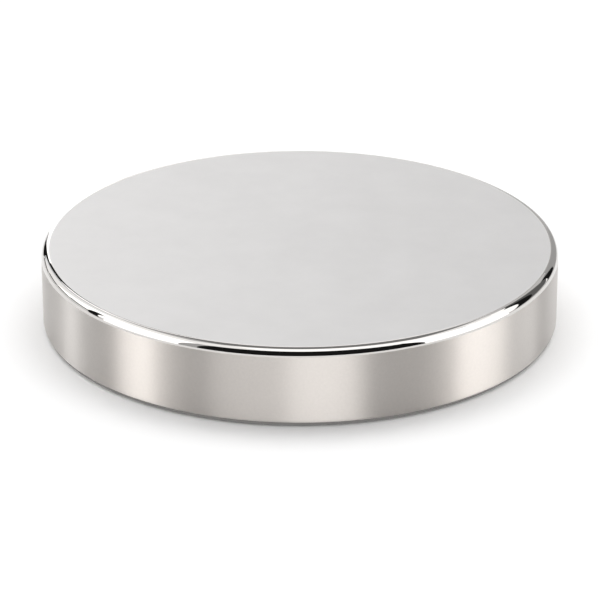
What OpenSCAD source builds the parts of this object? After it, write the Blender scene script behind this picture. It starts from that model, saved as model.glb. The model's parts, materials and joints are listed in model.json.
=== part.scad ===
// Disc magnet: one round disc of sintered rare-earth magnet alloy, pressed and ground to size,
// tumbled so that both rims are rounded, then plated with nickel. The poles are its two flat faces.
// The origin is the centre of the face that it lies on, and +Z runs up the disc's axis.

/* [Disc] */
// Diameter across the ground side
disc_d = 32; // [10:0.5:60]
// Thickness from face to face
disc_h = 5; // [3:0.1:20]

/* [Edges] */
// Radius that the tumbling leaves on the upper and the lower rim
edge_r = 0.5; // [0.1:0.05:1]

/* [Colour] */
// Colour of the nickel plating
plating = "#D6D4D0"; // ["#D6D4D0":nickel, "#DDD2B8":gold, "#3A3B3D":black nickel]

/* [Hidden] */
// Radius of the whole disc, and of the flat part of each face
disc_r = disc_d / 2;
face_r = disc_r - edge_r;
$fn = 180;

// Half of the disc's section, standing on the X axis with the disc's axis along Y: the middle runs
// from face to face, the side runs between the two rounded rims, and each rim is a quarter circle.
module half_section() {
    square([face_r, disc_h]);
    translate([0, edge_r])
        square([disc_r, disc_h - 2 * edge_r]);
    for (rim_z = [edge_r, disc_h - edge_r])
        translate([face_r, rim_z])
            circle(r = edge_r);
}

// The whole magnet, one solid of revolution
module magnet() {
    color(plating)
        rotate_extrude()
            half_section();
}

magnet();
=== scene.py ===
import json
import math

import bpy
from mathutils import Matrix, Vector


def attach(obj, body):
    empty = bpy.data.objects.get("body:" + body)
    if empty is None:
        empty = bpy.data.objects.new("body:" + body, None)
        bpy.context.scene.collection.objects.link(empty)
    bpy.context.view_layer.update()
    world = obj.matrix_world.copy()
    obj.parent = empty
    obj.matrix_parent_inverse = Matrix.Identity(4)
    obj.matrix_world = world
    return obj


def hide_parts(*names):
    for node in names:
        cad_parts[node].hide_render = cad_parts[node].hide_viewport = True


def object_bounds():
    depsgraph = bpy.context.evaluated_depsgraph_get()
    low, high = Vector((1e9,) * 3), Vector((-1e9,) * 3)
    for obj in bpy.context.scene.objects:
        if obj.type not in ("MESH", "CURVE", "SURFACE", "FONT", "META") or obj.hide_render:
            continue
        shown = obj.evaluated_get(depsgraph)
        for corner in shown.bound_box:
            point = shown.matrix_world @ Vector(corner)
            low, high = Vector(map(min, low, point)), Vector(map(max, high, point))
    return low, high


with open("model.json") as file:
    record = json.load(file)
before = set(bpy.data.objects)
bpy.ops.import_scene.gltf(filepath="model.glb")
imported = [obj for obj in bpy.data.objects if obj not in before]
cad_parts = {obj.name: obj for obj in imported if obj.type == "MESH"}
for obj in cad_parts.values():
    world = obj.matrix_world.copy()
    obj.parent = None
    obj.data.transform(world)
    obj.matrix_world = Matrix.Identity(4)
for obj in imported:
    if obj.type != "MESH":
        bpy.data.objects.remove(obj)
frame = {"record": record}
cad_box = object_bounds()
box_low, box_high = cad_box


# ---------------------------------------------------------------------------------------------
# The magnet: one disc of sintered magnet alloy. It is pressed, ground round and flat, and tumbled
# until both rims are rounded, and then nickel is plated over the whole of it. So one mesh stands
# for it, with one finish for each way that its surface was worked under the plating.
# ---------------------------------------------------------------------------------------------
MM = 0.001
rim_mount = next(mount for mount in frame["record"]["mounts"] if mount["name"] == "rim")
disc_radius = rim_mount["dims"]["r_mm"] * MM
disc_thickness = box_high.z - box_low.z
side_height = rim_mount["dims"]["length_mm"] * MM
rim_radius = (disc_thickness - side_height) / 2
face_radius = disc_radius - rim_radius

STEPS_ROUND = 360
STEPS_OVER_RIM = 14
STEPS_UP_SIDE = 6
FACE_RINGS = 5
# The marks of grinding the side run on this far over the lower rim, in degrees.
SATIN_OVER_LOWER_RIM = 15

# The finishes, numbered in the order in which the magnet takes them.
FACE, RIM, SIDE = range(3)


def section_of_disc():
    """The disc's half section, as (radius, height, tilt of the surface, finish up to that point).
    It runs from the middle of the lower face, out and up the side, to the middle of the upper one."""
    points = []
    for step in range(1, FACE_RINGS + 1):
        points.append((face_radius * step / FACE_RINGS, box_low.z, -90, FACE))
    for step in range(1, STEPS_OVER_RIM + 1):
        turn = 90 * step / STEPS_OVER_RIM
        out = face_radius + rim_radius * math.sin(math.radians(turn))
        up = box_low.z + rim_radius * (1 - math.cos(math.radians(turn)))
        points.append((out, up, turn - 90, RIM if turn < 90 - SATIN_OVER_LOWER_RIM else SIDE))
    for step in range(1, STEPS_UP_SIDE + 1):
        up = box_low.z + rim_radius + side_height * step / STEPS_UP_SIDE
        points.append((disc_radius, up, 0, SIDE))
    for step in range(1, STEPS_OVER_RIM + 1):
        turn = 90 * step / STEPS_OVER_RIM
        out = face_radius + rim_radius * math.cos(math.radians(turn))
        up = box_high.z - rim_radius * (1 - math.sin(math.radians(turn)))
        points.append((out, up, turn, RIM))
    for step in range(FACE_RINGS - 1, 0, -1):
        points.append((face_radius * step / FACE_RINGS, box_high.z, 90, FACE))
    return points


def turned_disc(name):
    """The section turned once round, closed by a fan of triangles at the middle of each face."""
    section = section_of_disc()
    corners = [(0, 0, box_low.z)]
    normals = [(0, 0, -1)]
    for out, up, tilt, _ in section:
        flat, rise = math.cos(math.radians(tilt)), math.sin(math.radians(tilt))
        for step in range(STEPS_ROUND):
            turn = 2 * math.pi * step / STEPS_ROUND
            corners.append((out * math.cos(turn), out * math.sin(turn), up))
            normals.append((flat * math.cos(turn), flat * math.sin(turn), rise))
    corners.append((0, 0, box_high.z))
    normals.append((0, 0, 1))
    faces, finishes = [], []
    last_ring = len(section) - 1
    for step in range(STEPS_ROUND):
        beside = (step + 1) % STEPS_ROUND
        faces.append((0, 1 + beside, 1 + step))
        finishes.append(FACE)
        for ring in range(last_ring):
            low, high = 1 + ring * STEPS_ROUND, 1 + (ring + 1) * STEPS_ROUND
            faces.append((low + step, low + beside, high + beside, high + step))
            finishes.append(section[ring + 1][3])
        top = 1 + last_ring * STEPS_ROUND
        faces.append((top + step, top + beside, len(corners) - 1))
        finishes.append(FACE)
    mesh = bpy.data.meshes.new(name)
    mesh.from_pydata(corners, [], faces)
    mesh.polygons.foreach_set("material_index", finishes)
    mesh.shade_smooth()
    mesh.normals_split_custom_set_from_vertices(normals)
    return bpy.data.objects.new(name, mesh)


magnet = turned_disc("disc_magnet")
bpy.context.scene.collection.objects.link(magnet)


def group_socket(group, name, way, default=None):
    socket = group.interface.new_socket(name=name, in_out=way, socket_type="NodeSocketFloat")
    if default is not None:
        socket.default_value = default


def make_plating_cloud():
    """Nickel never goes on quite evenly: soft clouds a few millimetres wide, and a fine tooth.
    Each scale is about how many of them lie side by side in a metre."""
    group = bpy.data.node_groups.new("plating_cloud", "ShaderNodeTree")
    group_socket(group, "Cloud Scale", "INPUT", default=220.0)
    group_socket(group, "Tooth Scale", "INPUT", default=9000.0)
    group_socket(group, "Cloud", "OUTPUT")
    group_socket(group, "Tooth", "OUTPUT")
    nodes, links = group.nodes, group.links
    ins = nodes.new("NodeGroupInput")
    outs = nodes.new("NodeGroupOutput")
    place = nodes.new("ShaderNodeTexCoord")
    cloud = nodes.new("ShaderNodeTexNoise")
    cloud.inputs["Detail"].default_value = 4.0
    cloud.inputs["Roughness"].default_value = 0.6
    tooth = nodes.new("ShaderNodeTexNoise")
    tooth.inputs["Detail"].default_value = 2.0
    for noise, scale in ((cloud, "Cloud Scale"), (tooth, "Tooth Scale")):
        links.new(place.outputs["Object"], noise.inputs["Vector"])
        links.new(ins.outputs[scale], noise.inputs["Scale"])
    links.new(cloud.outputs["Fac"], outs.inputs["Cloud"])
    links.new(tooth.outputs["Fac"], outs.inputs["Tooth"])
    return group


plating_cloud = make_plating_cloud()


def nickel(name, tints, roughness, tooth_depth, cloud_scale, tooth_scale, grain):
    """Nickel plate. tints and roughness are its two ends, from the darkest cloud to the lightest,
    tooth_depth is in metres, and grain is the tooth's share in the tint, beside the clouds."""
    material = bpy.data.materials.new(name)
    material.use_nodes = True
    nodes, links = material.node_tree.nodes, material.node_tree.links
    shader = nodes["Principled BSDF"]
    shader.inputs["Metallic"].default_value = 1.0
    clouds = nodes.new("ShaderNodeGroup")
    clouds.node_tree = plating_cloud
    clouds.inputs["Cloud Scale"].default_value = cloud_scale
    clouds.inputs["Tooth Scale"].default_value = tooth_scale
    tint = nodes.new("ShaderNodeMix")
    tint.data_type = "RGBA"
    tint.inputs["A"].default_value = (*tints[0], 1)
    tint.inputs["B"].default_value = (*tints[1], 1)
    grained = nodes.new("ShaderNodeMix")
    grained.inputs["Factor"].default_value = grain
    links.new(clouds.outputs["Cloud"], grained.inputs["A"])
    links.new(clouds.outputs["Tooth"], grained.inputs["B"])
    links.new(grained.outputs["Result"], tint.inputs["Factor"])
    links.new(tint.outputs["Result"], shader.inputs["Base Color"])
    # A mirror polish is the same all over, so it goes straight on to the shader.
    if roughness[1] > 0:
        haze = nodes.new("ShaderNodeMapRange")
        haze.inputs["To Min"].default_value = roughness[0]
        haze.inputs["To Max"].default_value = roughness[1]
        links.new(clouds.outputs["Cloud"], haze.inputs["Value"])
        links.new(haze.outputs["Result"], shader.inputs["Roughness"])
    else:
        shader.inputs["Roughness"].default_value = 0.0
    bump = nodes.new("ShaderNodeBump")
    bump.inputs["Strength"].default_value = 1.0
    bump.inputs["Distance"].default_value = tooth_depth
    links.new(clouds.outputs["Tooth"], bump.inputs["Height"])
    links.new(bump.outputs["Normal"], shader.inputs["Normal"])
    return material


face_nickel = nickel(
    "nickel_on_face",
    tints=((0.636, 0.626, 0.621), (0.727, 0.716, 0.711)),
    roughness=(0.44, 0.50),
    tooth_depth=2e-7,
    cloud_scale=300,
    tooth_scale=9000,
    grain=0,
)
rim_nickel = nickel(
    "nickel_on_rim",
    tints=((0.64, 0.62, 0.60), (0.68, 0.66, 0.64)),
    roughness=(0, 0),
    tooth_depth=2e-8,
    cloud_scale=220,
    tooth_scale=9000,
    grain=0,
)
# The side is the same nickel as the face, but its tints are set darker and warmer: painted shade with a
# warm cast, not a different plating.
side_nickel = nickel(
    "nickel_on_side",
    tints=((0.532, 0.503, 0.478), (0.617, 0.583, 0.553)),
    roughness=(0.42, 0.45),
    tooth_depth=2e-7,
    cloud_scale=220,
    tooth_scale=7000,
    grain=0.7,
)

# The side is ground as it turns, so its marks run round it and spread a reflection up and down.
side_shader = side_nickel.node_tree.nodes["Principled BSDF"]
side_shader.inputs["Anisotropic"].default_value = 1.0
side_shader.inputs["Anisotropic Rotation"].default_value = 0.25
round_the_side = side_nickel.node_tree.nodes.new("ShaderNodeTangent")
round_the_side.direction_type = "RADIAL"
round_the_side.axis = "Z"
side_nickel.node_tree.links.new(round_the_side.outputs["Tangent"], side_shader.inputs["Tangent"])

for finish in (face_nickel, rim_nickel, side_nickel):
    magnet.data.materials.append(finish)

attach(magnet, "root")
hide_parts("magnet")


# ---------------------------------------------------------------------------------------------
# The camera: a long lens at a low angle, so that the disc shows its face and its side together.
# It stands on a tripod in front, nearly seven disc widths away, and looks a little below centre.
# ---------------------------------------------------------------------------------------------
CAMERA_AWAY = 13.62 * disc_radius
CAMERA_UP = math.radians(23.472)
CAMERA_DOWN_TILT = math.radians(23.807)
LENS_MM = 210
SENSOR_MM = 36
LENS_SHIFT = 0.00027
NEAREST, FARTHEST = 0.01, 10
middle_height = (box_low.z + box_high.z) / 2

camera = bpy.data.objects.new("camera", bpy.data.cameras.new("camera"))
camera.data.sensor_width = SENSOR_MM
camera.data.lens = LENS_MM
camera.data.shift_x = LENS_SHIFT
camera.data.clip_start = NEAREST
camera.data.clip_end = FARTHEST
camera.location = (
    0, -CAMERA_AWAY * math.cos(CAMERA_UP), middle_height + CAMERA_AWAY * math.sin(CAMERA_UP))
camera.rotation_euler = (math.pi / 2 - CAMERA_DOWN_TILT, 0, 0)
bpy.context.scene.collection.objects.link(camera)
bpy.context.scene.camera = camera


# ---------------------------------------------------------------------------------------------
# The table: a plain sheet of matt white board that the disc lies on. Near the disc it takes light
# and shadow, and further off it fades into the white of the room, so that no far edge shows.
# ---------------------------------------------------------------------------------------------
TABLE_HALF = 1.5
SHEET_WHITE = 0.91
SHEET_ROUGHNESS = 0.9
FADE_FROM, FADE_TO = 0.08, 0.3

table_corners = []
for x, y in ((-1, -1), (1, -1), (1, 1), (-1, 1)):
    table_corners.append((x * TABLE_HALF, y * TABLE_HALF, box_low.z))
table_mesh = bpy.data.meshes.new("table")
table_mesh.from_pydata(table_corners, [], [(0, 1, 2, 3)])
table = bpy.data.objects.new("table", table_mesh)
bpy.context.scene.collection.objects.link(table)

white_sheet = bpy.data.materials.new("white_sheet")
white_sheet.use_nodes = True
sheet_nodes, sheet_links = white_sheet.node_tree.nodes, white_sheet.node_tree.links
sheet_shader = sheet_nodes["Principled BSDF"]
sheet_shader.inputs["Base Color"].default_value = (SHEET_WHITE, SHEET_WHITE, SHEET_WHITE, 1)
sheet_shader.inputs["Roughness"].default_value = SHEET_ROUGHNESS
sheet_shader.inputs["Specular IOR Level"].default_value = 0.0

# Only the camera and the metal see the fade. The light that the sheet gives off stays as it is.
sheet_path = sheet_nodes.new("ShaderNodeLightPath")
sheet_seen = sheet_nodes.new("ShaderNodeMath")
sheet_seen.operation = "MAXIMUM"
sheet_links.new(sheet_path.outputs["Is Camera Ray"], sheet_seen.inputs[0])
sheet_links.new(sheet_path.outputs["Is Glossy Ray"], sheet_seen.inputs[1])
sheet_place = sheet_nodes.new("ShaderNodeTexCoord")
sheet_away = sheet_nodes.new("ShaderNodeVectorMath")
sheet_away.operation = "LENGTH"
sheet_links.new(sheet_place.outputs["Object"], sheet_away.inputs[0])
fading = sheet_nodes.new("ShaderNodeMapRange")
fading.interpolation_type = "SMOOTHSTEP"
fading.inputs["From Min"].default_value = FADE_FROM
fading.inputs["From Max"].default_value = FADE_TO
sheet_links.new(sheet_away.outputs["Value"], fading.inputs["Value"])
faded = sheet_nodes.new("ShaderNodeMath")
faded.operation = "MULTIPLY"
sheet_links.new(sheet_seen.outputs["Value"], faded.inputs[0])
sheet_links.new(fading.outputs["Result"], faded.inputs[1])
far_white = sheet_nodes.new("ShaderNodeEmission")
far_white.inputs["Strength"].default_value = 1.0
sheet_mix = sheet_nodes.new("ShaderNodeMixShader")
sheet_links.new(faded.outputs["Value"], sheet_mix.inputs["Fac"])
sheet_links.new(sheet_shader.outputs["BSDF"], sheet_mix.inputs[1])
sheet_links.new(far_white.outputs["Emission"], sheet_mix.inputs[2])
sheet_links.new(sheet_mix.outputs["Shader"], sheet_nodes["Material Output"].inputs["Surface"])
table.data.materials.append(white_sheet)


# ---------------------------------------------------------------------------------------------
# The room and the lamp: white all round, at the level at which a colour shows as it is written,
# with one wide soft lamp above and behind that draws the shadow forward from under the disc.
# ---------------------------------------------------------------------------------------------
ROOM_SEEN = 1.0
ROOM_LIGHT = 0.85
LAMP_WIDTH, LAMP_DEPTH = 1.0, 0.5
LAMP_PLACE = (0, 0.30, 0.82)
LAMP_LEVEL = 2.4

world = bpy.data.worlds.new("room")
bpy.context.scene.world = world
world.use_nodes = True
room_nodes, room_links = world.node_tree.nodes, world.node_tree.links
background = room_nodes["Background"]
background.inputs["Color"].default_value = (1, 1, 1, 1)
room_path = room_nodes.new("ShaderNodeLightPath")
seen = room_nodes.new("ShaderNodeMath")
seen.operation = "MAXIMUM"
room_links.new(room_path.outputs["Is Camera Ray"], seen.inputs[0])
room_links.new(room_path.outputs["Is Glossy Ray"], seen.inputs[1])
room_level = room_nodes.new("ShaderNodeMapRange")
room_level.inputs["To Min"].default_value = ROOM_LIGHT
room_level.inputs["To Max"].default_value = ROOM_SEEN
room_links.new(seen.outputs["Value"], room_level.inputs["Value"])
room_links.new(room_level.outputs["Result"], background.inputs["Strength"])

lamp_light = bpy.data.lights.new("soft_lamp", "AREA")
lamp_light.shape = "RECTANGLE"
lamp_light.size = LAMP_WIDTH
lamp_light.size_y = LAMP_DEPTH
lamp_light.energy = math.pi * LAMP_WIDTH * LAMP_DEPTH * LAMP_LEVEL
lamp = bpy.data.objects.new("soft_lamp", lamp_light)
lamp.location = LAMP_PLACE
lamp.visible_camera = False
lamp.visible_glossy = False
bpy.context.scene.collection.objects.link(lamp)


# ---------------------------------------------------------------------------------------------
# The drape and the light boxes: metal shows what stands round it, so black cloth hangs in front
# and at the sides, and boxes of light stand before it, each drawing one pale band up the side.
# Only the metal sees them. Angles are in degrees: azimuth is 0 in front and grows to the right.
# ---------------------------------------------------------------------------------------------
BOX_AWAY = 0.5
BOX_TOP = 55
DRAPE_AWAY = 0.56
DRAPE_FOOT, DRAPE_TOP = -0.5, 60
DRAPE_END = 160
# A wide card is bent into flat panels, each about this wide.
PANEL_TURN = 12

# How light each shows, where 1 is white: the cloth, and the soft glow that fills its upper part.
BLACK = 0.012
DRAPE_GLOW = 0.35
DRAPE_GLOW_FOOT = 16
DRAPE_GLOW_AWAY = 0.55

WARM = (1, 0.99, 0.98)
PLAIN = (1, 1, 1)
COOL = (0.955, 0.98, 1)


def studio_card(name, corners, faces, light, seen_by="metal", tint=PLAIN):
    """A flat card, or several side by side. It glows at this level, and lights nothing else.
    seen_by is metal for any of it, satin for only the worked faces, or polish for the rims."""
    mesh = bpy.data.meshes.new(name)
    mesh.from_pydata(corners, [], faces)
    card = bpy.data.objects.new(name, mesh)
    bpy.context.scene.collection.objects.link(card)
    card.visible_camera = False
    card.visible_diffuse = False
    card.visible_shadow = False
    glow = bpy.data.materials.new(name)
    glow.use_nodes = True
    nodes, links = glow.node_tree.nodes, glow.node_tree.links
    nodes.clear()
    emission = nodes.new("ShaderNodeEmission")
    emission.inputs["Color"].default_value = (*tint, 1)
    emission.inputs["Strength"].default_value = light
    surface = emission.outputs["Emission"]
    # A ray is singular when it comes straight off a mirror polish. One that reaches the metal by way
    # of the table misses the satin's cards, so that the metal throws none of their light down there.
    if seen_by != "metal":
        path = nodes.new("ShaderNodeLightPath")
        clear = nodes.new("ShaderNodeBsdfTransparent")
        either = nodes.new("ShaderNodeMixShader")
        sharp = path.outputs["Is Singular Ray"]
        if seen_by == "polish":
            links.new(sharp, either.inputs["Fac"])
            links.new(clear.outputs["BSDF"], either.inputs[1])
            links.new(surface, either.inputs[2])
        else:
            missed = nodes.new("ShaderNodeMath")
            missed.operation = "ADD"
            missed.use_clamp = True
            links.new(sharp, missed.inputs[0])
            links.new(path.outputs["Diffuse Depth"], missed.inputs[1])
            links.new(missed.outputs["Value"], either.inputs["Fac"])
            links.new(surface, either.inputs[1])
            links.new(clear.outputs["BSDF"], either.inputs[2])
        surface = either.outputs["Shader"]
    out = nodes.new("ShaderNodeOutputMaterial")
    links.new(surface, out.inputs["Surface"])
    card.data.materials.append(glow)


def round_the_disc(azimuth, away, elevation):
    """The point in this direction, as seen from the disc, at this distance along the table."""
    turn = math.radians(azimuth)
    height = box_low.z + away * math.tan(math.radians(elevation))
    return (away * math.sin(turn), -away * math.cos(turn), height)


def upright(name, left, right, light, base=0, top=BOX_TOP, away=BOX_AWAY, lean=0, **more):
    """An upright card, bent where it is wide, that fills the view from left to right. lean is how
    far round its top edge stands from its foot."""
    panels = max(1, round((right - left) / PANEL_TURN))
    corners = []
    for edge in range(panels + 1):
        azimuth = left + (right - left) * edge / panels
        corners.append(round_the_disc(azimuth, away, base))
        corners.append(round_the_disc(azimuth + lean, away, top))
    faces = [(2 * n, 2 * n + 2, 2 * n + 3, 2 * n + 1) for n in range(panels)]
    studio_card(name, corners, faces, light, **more)


upright("drape", -DRAPE_END, DRAPE_END, light=BLACK, base=DRAPE_FOOT, top=DRAPE_TOP, away=DRAPE_AWAY)
upright("drape_glow", -DRAPE_END, DRAPE_END, light=DRAPE_GLOW, base=DRAPE_GLOW_FOOT, top=DRAPE_TOP,
        away=DRAPE_GLOW_AWAY, seen_by="satin")
upright("left_back_card", -160, -153, light=0.60, tint=COOL)
upright("left_back_box", -153, -142, light=1.15, tint=COOL)
upright("left_back_dim_card", -142, -130, light=0.45, tint=COOL)
upright("left_rear_card", -130, -118, light=0.95, tint=COOL)
upright("left_rear_box", -118, -109, light=4.2, tint=COOL)
upright("left_box_edge", -85, -82, light=0.75, tint=WARM)
upright("left_box", -82, -63.5, light=4.9, tint=WARM)
upright("front_left_fill", -38, -5, light=1.6, seen_by="satin")
upright("front_right_fill", -5, 26.5, light=3.1, seen_by="satin")
upright("right_box", 69.5, 96.5, light=4.2, tint=WARM)
upright("right_rear_card", 96.5, 110, light=1.15, tint=COOL)
upright("right_rear_box", 110, 120.5, light=2.3, tint=COOL)
upright("right_back_dim_card", 130.5, 151, light=1.0, tint=COOL)
upright("right_back_card", 151, 160, light=1.50, tint=COOL)


# ---------------------------------------------------------------------------------------------
# The cards that the polished rims see: a rim is a mirror bent so sharply that the whole room lies
# in it, and each narrow card of white or black foam board draws one clear line or streak there.
# They stand nearer the disc than the light boxes, the black ones nearest.
# ---------------------------------------------------------------------------------------------
GLOW_TOP = 62
white_board = {"away": 0.48, "seen_by": "polish"}
dark_board = {"away": 0.47, "seen_by": "polish"}

upright("left_glow", -90, -51, light=2.0, top=GLOW_TOP, lean=-7, **white_board)
upright("left_glow_edge", -51, -42.5, light=0.5, top=GLOW_TOP, lean=-7, **white_board)
upright("left_rear_glow", -130, -90, light=2.0, base=15, top=GLOW_TOP, **white_board)
upright("left_rear_low_glow", -130, -90, light=0.9, top=15, **white_board)
upright("left_back_glow", -148, -130, light=1.2, base=8, top=GLOW_TOP, **white_board)
upright("left_back_low_glow", -148, -130, light=0.9, top=8, **white_board)
upright("left_slot", -99, -92, light=BLACK, base=4, top=36, lean=-12, **dark_board)

# The dark edge of a bench behind on the left, which looks lower as it runs further back. Each part
# has its left end, its right end, its foot and its top.
LEFT_EDGE = (
    (-117, -99, 13, 18.5),
    (-128, -117, 11, 15.5),
    (-138, -128, 8, 12.5),
    (-148, -138, 4.5, 9),
)
for part, (left, right, base, top) in enumerate(LEFT_EDGE):
    upright(f"left_line_{part + 1}", left, right, light=BLACK, base=base, top=top, **dark_board)

upright("left_post", -157, -149, light=BLACK, base=-0.5, top=13, **dark_board)
upright("left_post_top", -158, -152, light=BLACK, base=13, top=27, lean=-7, **dark_board)
upright("left_rail", -177, -160, light=BLACK, base=24.5, top=29.5, **dark_board)
upright("right_glow", 53, 98, light=2.0, top=GLOW_TOP, lean=4, **white_board)
upright("right_rear_glow", 98, 142, light=1.6, base=7, top=50, **white_board)
upright("right_rear_low_glow", 98, 160, light=0.75, top=7, **white_board)
upright("right_slot", 101, 113, light=BLACK, base=5, top=42, lean=27, **dark_board)
upright("right_grey", 113, 129, light=0.15, base=5, top=42, lean=27, **dark_board)
upright("right_far_slot", 130.5, 140, light=BLACK, base=1.5, top=27, lean=9, **dark_board)
upright("right_far_card", 140, 160, light=0.45, top=27, lean=8, **dark_board)
upright("right_far_top_card", 140, 166, light=0.7, base=27, top=46, lean=8, **dark_board)


# ---------------------------------------------------------------------------------------------
# The shade under the lower rim: the disc stands on its flat face alone, so a narrow wedge of dark
# runs round it between rim and table. A ring stands for it, just above the table, which the polish
# mirrors as a thin dark line. It reaches from under the rim to a little past the side.
# ---------------------------------------------------------------------------------------------
SHADE_FROM = disc_radius - 0.34 * MM
SHADE_TO = disc_radius + 0.12 * MM
SHADE_HEIGHT = box_low.z + 0.02 * MM
SHADE_LEVEL = 0.27

shade_corners = []
for step in range(STEPS_ROUND):
    turn = 2 * math.pi * step / STEPS_ROUND
    for out in (SHADE_FROM, SHADE_TO):
        shade_corners.append((out * math.cos(turn), out * math.sin(turn), SHADE_HEIGHT))
last = len(shade_corners)
shade_faces = [(n, n + 1, (n + 3) % last, (n + 2) % last) for n in range(0, last, 2)]
studio_card("shade_under_rim", shade_corners, shade_faces, SHADE_LEVEL, seen_by="polish")


# ---------------------------------------------------------------------------------------------
# The back wall: four panels of painted board side by side, lighter towards the left, with one
# longer panel above them. The upper face shows them from the front.
# ---------------------------------------------------------------------------------------------
WALL_AWAY = 0.57
RAIL_HEIGHT = 0.38
CEILING = 0.51
PANEL_EDGES = (-0.22, -0.08, 0, 0.08, 0.22)
PANEL_LIGHTS = (2.1, 1.15, 1.0, 0.55)


def wall(name, left, right, low, high, light):
    corners = [(left, WALL_AWAY, low), (right, WALL_AWAY, low), (right, WALL_AWAY, high),
               (left, WALL_AWAY, high)]
    studio_card(name, corners, [(0, 1, 2, 3)], light)


for panel, light in enumerate(PANEL_LIGHTS):
    wall(f"back_wall_{panel + 1}", PANEL_EDGES[panel], PANEL_EDGES[panel + 1], 0, RAIL_HEIGHT, light)
wall("back_wall_top", PANEL_EDGES[0], PANEL_EDGES[-1], RAIL_HEIGHT, CEILING, light=1.60)


# ---------------------------------------------------------------------------------------------
# The boxes overhead: three boxes of light side by side above the disc, with a dim ceiling behind
# them as far as the wall. A few cards more, up there and on the table, are for the rims alone.
# Each is placed by its left, right, front and back edge, in metres from the middle of the disc.
# ---------------------------------------------------------------------------------------------
ROOF_HALF = 0.36
MIDDLE_HALF = 0.12
BOXES_FRONT, BOXES_BACK = -0.275, 0.05
BOX_HEIGHT = 0.5
ON_TABLE = 0.0005


def lying(name, left, right, front, back, height, light, **more):
    corners = [(left, front, height), (right, front, height), (right, back, height),
               (left, back, height)]
    studio_card(name, corners, [(0, 1, 2, 3)], light, **more)


lying("left_overhead_box", -ROOF_HALF, -MIDDLE_HALF, BOXES_FRONT, BOXES_BACK, BOX_HEIGHT, light=1.30)
lying("middle_overhead_box", -MIDDLE_HALF, MIDDLE_HALF, BOXES_FRONT, BOXES_BACK, BOX_HEIGHT, light=1.70)
lying("right_overhead_box", MIDDLE_HALF, ROOF_HALF, BOXES_FRONT, BOXES_BACK, BOX_HEIGHT, light=1.60)
lying("dark_ceiling", -ROOF_HALF, ROOF_HALF, BOXES_BACK, WALL_AWAY, CEILING, light=0.26)
lying("right_table_card", 0.02, 0.3, 0.05, 0.5, ON_TABLE, light=0.5, seen_by="polish")
lying("left_ceiling_glow", -ROOF_HALF, -0.21, BOXES_BACK, 0.5, BOX_HEIGHT, light=1.3, seen_by="polish")
lying("left_ceiling_card", -0.21, -0.14, BOXES_BACK, 0.5, BOX_HEIGHT, light=0.6, seen_by="polish")
lying("right_ceiling_glow", 0.235, ROOF_HALF, BOXES_BACK, 0.42, BOX_HEIGHT, light=1.2, seen_by="polish")
lying("left_table_post", -0.16, -0.1, 0.1, 0.42, ON_TABLE, light=BLACK, seen_by="polish")


bpy.context.scene.view_settings.view_transform = "Standard"
